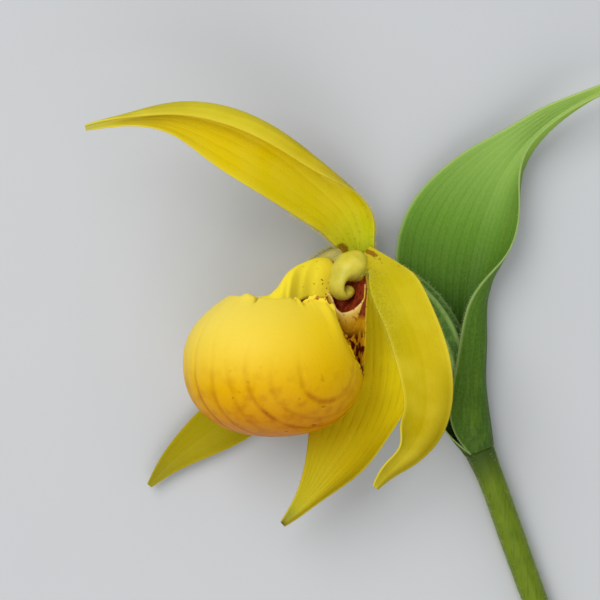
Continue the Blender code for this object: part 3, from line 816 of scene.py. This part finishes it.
def lip_colour(tree):
    rise, side, forward = paint(tree, "rise"), paint(tree, "side"), paint(tree, "forward")
    past, lines = paint(tree, "past"), paint(tree, "groove")
    # Outside, the yellow turns orange-brown downwards: partly the pouch's own colour, partly painted
    # shade towards the bottom.
    outside = ramp(tree, stretch(tree, rise, -1.0, 1.0), (
        (0.0, (178, 110, 0)), (0.12, (192, 128, 0)), (0.3, (208, 156, 0)), (0.5, (222, 178, 0)),
        (0.75, (236, 200, 24)), (0.9, (238, 208, 48)), (1.0, (240, 214, 62)),
    ))
    # Painted highlight: a paler wash over the upper front, where the light falls on the waxy pouch.
    pale = times(tree, stretch(tree, forward, 0.1, 0.9), stretch(tree, rise, -0.3, 0.7))
    outside = mixed(tree, times(tree, pale, 0.6), outside, (240, 218, 106))
    low = rest(tree, stretch(tree, rise, -0.95, 0.1))
    patchy = stretch(tree, cloud(tree, 4.0), 0.34, 0.62)
    brown = times(tree, calc(tree, "ADD", patchy, 0.5), calc(tree, "ADD", low, 0.1))
    brown = node(tree, "Math", {0: lines, 1: brown}, operation="MULTIPLY", use_clamp=True).outputs[0]
    colour = mixed(tree, times(tree, brown, 0.85), outside, (156, 84, 0))
    stain = stretch(tree, cloud(tree, 2.6, 5.0), 0.48, 0.68)
    colour = mixed(tree, times(tree, low, stain, 0.6), colour, (160, 84, 0))
    specks = stretch(tree, cloud(tree, 1.6, 0.5), 0.74, 0.77)
    colour = mixed(tree, times(tree, low, 0.8, specks), colour, (120, 52, 4))
    back = rest(tree, stretch(tree, forward, -0.85, -0.45))
    blotches = stretch(tree, cloud(tree, 1.9, 2.0), 0.45, 0.5)
    spotted = times(tree, blotches, back, rest(tree, stretch(tree, rise, 0.35, 0.5)))
    inside = mixed(tree, spotted, (218, 160, 20), (92, 10, 4))
    mottled = mixed(tree, stretch(tree, cloud(tree, 1.0), 0.35, 0.65), (104, 30, 12), (156, 60, 30))
    near_column = times(tree, stretch(tree, rise, 0.58, 0.66), back)
    inside = mixed(tree, near_column, inside, mottled)
    browned = rest(tree, stretch(tree, cloud(tree, 1.5), 0.36, 0.46))
    near_rim = times(tree, stretch(tree, past, 0.0, 0.2), browned, stretch(tree, side, 0.2, 0.4))
    colour = mixed(tree, near_rim, colour, (150, 92, 16))
    # Painted light: the far fold's rolled margin is painted brighter against the shade it lies in.
    far_side = rest(tree, stretch(tree, side, -0.2, 0.1))
    far_fold_light = times(tree, stretch(tree, past, 0.0, 0.15), 0.85, far_side)
    colour = mixed(tree, far_fold_light, colour, (252, 228, 50))
    freckles = stretch(tree, cloud(tree, 0.9, 1.0), 0.68, 0.72)
    freckled = times(tree, stretch(tree, past, 0.1, 0.5), freckles, back)
    colour = mixed(tree, freckled, colour, (150, 96, 12))
    colour = mixed(tree, paint(tree, "inner"), colour, inside)
    return colour, calc(tree, "ADD", cloud(tree, 0.7), times(tree, lines, -0.5))


lip_skin = living_skin("lip_skin", lip_colour, roughness=0.42, gloss=0.07, depth=0.12)
around = 288
outside, forward, sideways, rise, past, groove = lip_outside(around, up=96, over_rim=20)
going_round = np.roll(outside, -1, axis=1) - np.roll(outside, 1, axis=1)
inward = np.cross(np.gradient(outside, axis=0), going_round)
inward[0] = inward[1].mean(axis=0)
inward = unit(inward)
lip_rows = outside.shape[0]
thinning = np.clip((lip_rows - 1 - np.arange(lip_rows)) / 10, 0, 1)
wall = (lip_edge_thick + (lip_thick - lip_edge_thick) * np.sqrt(thinning))[:, None, None]
inside = outside + inward * wall
points = np.concatenate([outside[:1, 0], inside[:1, 0], outside[1:].reshape(-1, 3),
                         inside[1:].reshape(-1, 3)])
shell = (lip_rows - 1) * around
faces = []
for j in range(around):
    k = (j + 1) % around
    faces += [(0, 2 + k, 2 + j), (1, 2 + shell + j, 2 + shell + k)]
    for i in range(lip_rows - 2):
        here, there = 2 + i * around, 2 + (i + 1) * around
        faces.append((here + j, here + k, there + k, there + j))
        faces.append((there + j + shell, there + k + shell, here + k + shell, here + j + shell))
    brim = 2 + (lip_rows - 2) * around
    faces.append((brim + j, brim + k, brim + k + shell, brim + j + shell))


def both_walls(values):
    """Numbers of the outer wall's points, given to the inner wall's points as well."""
    return np.concatenate([values[0, :1], values[0, :1], values[1:].ravel(), values[1:].ravel()])


grown("lip_pouch", points, faces, lip_skin, "lip", "lip",
      rise=both_walls(rise), side=both_walls(sideways), forward=both_walls(forward),
      past=both_walls(past), groove=both_walls(groove),
      inner=np.concatenate([[0, 1], np.zeros(shell), np.ones(shell)]))

# The frill: where the lip's back wall turns in on both sides, below the staminode, it makes a thin
# cream-edged fold round the mouth's small dark way out. It is one with the lip's wall.
frill_half_thick = 0.16
frill_along = 60
frill_down = 12
frill_top = (
    (-7.4, -7.0, -1.0),
    (-6.4, -8.9, 1.0),
    (-4.8, -11.6, 3.0),
    (-4.0, -12.2, 3.8),
    (-2.0, -11.3, 5.0),
    (-0.2, -10.0, 6.0),
    (0.6, -8.8, 6.7),
    (0.8, -7.3, 7.0),
    (1.1, -5.6, 6.9),
)
frill_foot = (
    (-7.6, -9.5, -1.8),
    (-6.6, -11.5, -1.2),
    (-5.2, -14.0, 0.2),
    (-3.8, -15.8, 1.6),
    (-2.4, -17.0, 3.2),
    (-0.5, -15.4, 4.8),
    (0.4, -12.6, 5.8),
    (0.9, -8.6, 6.5),
)


def frill_colour(tree):
    high = paint(tree, "across")
    colour = ramp(tree, high, (
        (0.0, (140, 56, 8)), (0.15, (206, 146, 16)), (0.5, (220, 168, 30)),
        (0.8, (236, 192, 76)), (0.93, (248, 218, 130)), (1.0, (236, 190, 90)),
    ))
    freckles = times(tree, stretch(tree, cloud(tree, 1.0, 1.0), 0.6, 0.66), 0.6)
    return mixed(tree, freckles, colour, (134, 66, 14)), cloud(tree, 0.5)


edge, share = along_stations(frill_top, frill_along)
foot, _ = along_stations(frill_foot, frill_along)
edge += 0.25 * np.sin(np.array([10.0, 18.0, 14.0]) * share[:, None])
hang = np.linspace(0, 1, frill_down + 1)[:, None]
grid = edge[:, None] * (1 - hang) + foot[:, None] * hang
grid[..., 2] += 0.7 * np.sin(math.pi * hang[:, 0]) + 0.5 * (1 - hang[:, 0]) ** 4
normal = unit(np.cross(np.gradient(grid, axis=1), np.gradient(grid, axis=0)))
points, faces = two_faced(grid + frill_half_thick * normal, grid - frill_half_thick * normal)
frill_skin = living_skin(
    "frill_skin", frill_colour, roughness=0.4, gloss=0.4, depth=0.06, glow=0.2
)
grown("lip_frill", points, faces, frill_skin, "lip",
      across=np.tile(1 - hang[:, 0], 2 * (frill_along + 1)))

# The column: the short fleshy stalk in the mouth's top that joins stamens and pistil. The staminode
# is its curled pale shield; under it hang the stigma and, one on each side, the two anthers.
# Their stations are how far forward and up each place is, half the width, and half the thickness.
column_stations = (
    (-0.6, 1.0, 2.0, 2.0),
    (0.4, -0.8, 2.9, 2.8),
    (1.6, -2.8, 3.2, 2.9),
    (2.8, -4.4, 3.0, 2.2),
)
staminode_stations = (
    (-1.0, 0.0, 1.6, 1.6),
    (0.6, -0.4, 2.9, 2.4),
    (2.7, -1.8, 3.8, 3.3),
    (4.7, -2.9, 3.4, 2.6),
    (6.1, -4.4, 2.6, 1.6),
    (6.8, -6.0, 2.4, 1.15),
    (6.5, -7.4, 2.2, 1.05),
    (5.4, -8.3, 2.0, 1.0),
    (4.1, -7.95, 1.8, 1.2),
    (3.3, -7.1, 1.7, 1.35),
    (3.8, -6.3, 1.3, 1.1),
)
stigma_stations = (
    (3.5, -3.2, 0.9, 0.8),
    (3.9, -4.0, 1.6, 1.1),
    (4.2, -4.6, 1.4, 0.8),
)
anther_stations = (
    (2.2, -1.0, 0.5, 0.6),
    (3.2, -1.7, 0.8, 0.8),
    (4.4, -2.6, 0.5, 0.6),
)
anther_out = 2.8


def on_column(stations, out):
    """The stations as places of the flower, moved out to its left."""
    return [
        (*(ahead * front + above * top + out * left), thick, wide)
        for ahead, above, wide, thick in stations
    ]


def fleshy(pale, deep, speck):
    """The paint of waxy flesh, in two soft colours with a few specks."""
    def build(tree):
        colour = mixed(tree, stretch(tree, cloud(tree, 2.0), 0.35, 0.7), deep, pale)
        spots = times(tree, stretch(tree, cloud(tree, 0.7, 1.0), 0.72, 0.76), 0.5)
        return mixed(tree, spots, colour, speck), cloud(tree, 0.3)
    return build


def rounded(stations, along, sides, out):
    """A fleshy body whose ends close in a dome."""
    def dome(far, turn):
        ends = np.clip(np.minimum(far, 1 - far) / 0.12, 0, 1)
        return np.sqrt(1 - (1 - ends) ** 2 * 0.85) + 0 * turn
    return tube(on_column(stations, out), along, sides, dome, up=left)


column_skin = living_skin(
    "column_skin", fleshy((204, 194, 62), (190, 182, 44), (150, 110, 30)),
    roughness=0.45, gloss=0.35, depth=0.08, glow=0.25,
)
staminode_skin = living_skin(
    "staminode_skin", fleshy((224, 208, 78), (206, 194, 52), (170, 120, 30)),
    roughness=0.42, gloss=0.35, depth=0.08, glow=0.25,
)
stigma_skin = living_skin(
    "stigma_skin", fleshy((190, 190, 80), (160, 164, 50), (120, 110, 30)),
    roughness=0.25, gloss=0.5, depth=0.05, glow=0.2,
)
anther_skin = living_skin(
    "anther_skin", fleshy((214, 200, 84), (190, 178, 56), (150, 110, 40)),
    roughness=0.6, gloss=0.3, depth=0.15,
)
for name, stations, steps, sides, skin, slot, out in (
    ("column", column_stations, 40, 48, column_skin, "column", 0.0),
    ("staminode", staminode_stations, 90, 40, staminode_skin, "column", 0.0),
    ("stigma", stigma_stations, 24, 40, stigma_skin, "stigma", 0.0),
    ("anther_left", anther_stations, 24, 28, anther_skin, "anthers", anther_out),
    ("anther_right", anther_stations, 24, 28, anther_skin, "anthers", -anther_out),
):
    points, _, faces, _, _ = rounded(stations, steps, sides, out)
    grown(name + "_flesh", points, faces, skin, slot, name)

# The table and the studio: a plain pale surface under the flower, a broad soft light from beyond
# its top with a weaker one opposite, and a camera that looks straight down. The picture's width is
# taken at the receptacle's height, and its centre is measured from there.
camera_rise = 620.0
seen_across = 132.0
view_centre = (-13.2, -9.24)
film_wide = 36.0
table_colour = (186, 187, 188)
table_patches = (190, 191, 192)
table_reach = 3.0
sky_colour = (232, 236, 240)
sky_strength = 0.62


def table_paint(tree):
    return mixed(tree, cloud(tree, 60.0), table_colour, table_patches), None


floor_mesh = bpy.data.meshes.new("table")
corners = [(x * table_reach, y * table_reach, 0) for x, y in ((-1, -1), (1, -1), (1, 1), (-1, 1))]
floor_mesh.from_pydata(corners, [], [(0, 1, 2, 3)])
floor_mesh.materials.append(living_skin("table_skin", table_paint, roughness=0.7, glow=0.0))
floor = bpy.data.objects.new("table", floor_mesh)
bpy.context.scene.collection.objects.link(floor)
for name, place, width, power in (
    ("key", (-0.50, 0.50, 1.05), 0.9, 9.9),
    ("fill", (0.05, -0.85, 0.7), 1.0, 5.6),
):
    lamp = bpy.data.lights.new(name, "AREA")
    lamp.size = width
    lamp.energy = power
    light = bpy.data.objects.new(name, lamp)
    light.location = place
    aim = -np.array(place)
    flat = math.hypot(aim[0], aim[1])
    light.rotation_euler = (math.atan2(flat, -aim[2]), 0, math.atan2(aim[1], aim[0]) - math.pi / 2)
    bpy.context.scene.collection.objects.link(light)
world = bpy.data.worlds.new("studio")
world.use_nodes = True
sky = world.node_tree.nodes["Background"]
sky.inputs["Color"].default_value = linear(sky_colour)
sky.inputs["Strength"].default_value = sky_strength
bpy.context.scene.world = world
camera = bpy.data.objects.new("camera", bpy.data.cameras.new("camera"))
camera.data.sensor_width = film_wide
camera.data.lens = film_wide * camera_rise / seen_across
camera.location = (
    (receptacle[0] + view_centre[0]) * MM,
    (receptacle[1] + view_centre[1]) * MM,
    (receptacle[2] + camera_rise) * MM,
)
camera.data.clip_start = 0.01
bpy.context.scene.collection.objects.link(camera)
bpy.context.scene.camera = camera
bpy.context.scene.view_settings.view_transform = "Standard"
